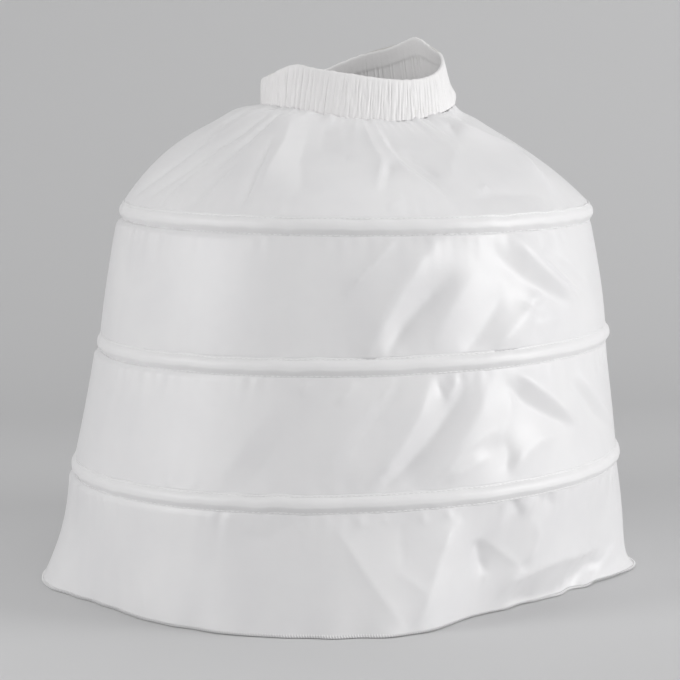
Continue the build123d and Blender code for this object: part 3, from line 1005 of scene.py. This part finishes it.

# %% [markdown]
# Each piece is given its finish, and the solid that it stands for is hidden.  The hoops, their sleeves and the
# elastic stay as they are inside the cloth.

# %% Dress the pieces
dressed = [
    (yoke, tier_cloth, "tier_cloth", ["yoke"]),
    (second_tier, tier_cloth, "tier_cloth", ["second_tier"]),
    (third_tier, tier_cloth, "tier_cloth", ["third_tier"]),
    (hem_tier, tier_cloth, "tier_cloth", ["hem_tier"]),
    (waistband, band_cloth, "band_cloth", ["waistband"]),
    (overlock, thread, "thread", ["hem_overlock"]),
]
dressed += [(piece, casing_cloth, "casing_cloth", [name + "_hoop_casing"]) for piece, name in zip(casings, HOOPS)]
dressed += [(piece, thread, "thread", []) for piece in stitches]
for piece, finish, slot, stands_for in dressed:
    piece.data.materials.append(finish)
    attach(piece, "root")
    if stands_for:
        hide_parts(*stands_for)
inner_finishes = {"waist_elastic": elastic_knit}
for name in HOOPS:
    inner_finishes[name + "_hoop"] = hoop_plastic
    inner_finishes[name + "_hoop_sleeve"] = sleeve_steel
for node, finish in inner_finishes.items():
    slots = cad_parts[node].data.materials
    slots.clear()
    slots.append(finish)
print("dressed", len(dressed), "pieces")

# %% [markdown]
# A tier is a strip as long as the hoop it hangs on, and the
# yoke is cut in a flat fan, wider at the hoop than at the waist.

# %% [markdown]
# ## Floor and light
# A pale floor runs up into a back wall, so there is no edge behind the skirt.  The wall is clear from behind, for
# a look at the back.  A wide soft lamp at the right draws the folds, and a weaker one at the left lights the other
# side, so the middle of the skirt is the darkest.  Two faint lamps, in front and above, lighten the shadows.

# %% Stage
FLOOR_HALF, WALL_AT, WALL_HEIGHT = 6.0, 2.2, 4.0
COVE_WIDTH, COVE_STEPS = 1.2, 16
LAMP_AIM = Vector((0, 0, 0.28))
AIR_LIGHT = 0.41


def floor_and_wall():
    bpy.ops.object.select_all(action="DESELECT")
    bpy.ops.mesh.primitive_plane_add(size=2 * FLOOR_HALF, location=(0, WALL_AT - FLOOR_HALF, 0))
    floor = bpy.context.object
    floor.name = "studio_floor"
    bpy.ops.object.transform_apply(location=True)
    bpy.ops.object.mode_set(mode="EDIT")
    bpy.ops.mesh.select_all(action="DESELECT")
    bpy.ops.object.mode_set(mode="OBJECT")
    for edge in floor.data.edges:
        edge.select = all(floor.data.vertices[v].co.y > WALL_AT - 0.01 for v in edge.vertices)
    bpy.ops.object.mode_set(mode="EDIT")
    bpy.ops.mesh.select_mode(type="EDGE")
    bpy.ops.mesh.extrude_region_move(TRANSFORM_OT_translate={"value": (0, 0, WALL_HEIGHT)})
    bpy.ops.object.mode_set(mode="OBJECT")
    choose(floor)
    cove = floor.modifiers.new("cove", "BEVEL")
    cove.width, cove.segments = COVE_WIDTH, COVE_STEPS
    bpy.ops.object.modifier_apply(modifier=cove.name)
    bpy.ops.object.shade_smooth()
    return floor


def clear_from_behind(finish, shader):
    """The wall's back lets a camera behind it look through."""
    nodes, links = finish.node_tree.nodes, finish.node_tree.links
    side, clear = nodes.new("ShaderNodeNewGeometry"), nodes.new("ShaderNodeBsdfTransparent")
    mix = nodes.new("ShaderNodeMixShader")
    links.new(side.outputs["Backfacing"], mix.inputs["Fac"])
    links.new(shader.outputs["BSDF"], mix.inputs[1])
    links.new(clear.outputs["BSDF"], mix.inputs[2])
    links.new(mix.outputs["Shader"], nodes["Material Output"].inputs["Surface"])


def lamp(name, place, size, power):
    data = bpy.data.lights.new(name, "AREA")
    data.shape = "DISK"
    data.size = size
    data.energy = power
    made = bpy.data.objects.new(name, data)
    bpy.context.scene.collection.objects.link(made)
    made.location = place
    made.rotation_euler = (LAMP_AIM - Vector(place)).to_track_quat("-Z", "Y").to_euler()


floor = floor_and_wall()
pale, pale_shader = material("studio_grey", (0.61, 0.61, 0.615), 0.9)
floor.data.materials.append(pale)
clear_from_behind(pale, pale_shader)
lamp("right_lamp", (3.2, -1.13, 0.95), size=1.8, power=68)
lamp("front_lamp", (0.25, -2.6, 1.2), size=1.6, power=5)
lamp("left_lamp", (-2.0, -0.9, 1.0), size=1.2, power=19.5)
lamp("top_lamp", (0.4, 0.2, 2.4), size=1.5, power=7)
world = bpy.data.worlds.new("studio_air")
world.use_nodes = True
air = world.node_tree.nodes["Background"]
air.inputs["Color"].default_value = (1, 1, 1, 1)
air.inputs["Strength"].default_value = AIR_LIGHT
bpy.context.scene.world = world
bpy.context.scene.view_settings.view_transform = "Standard"
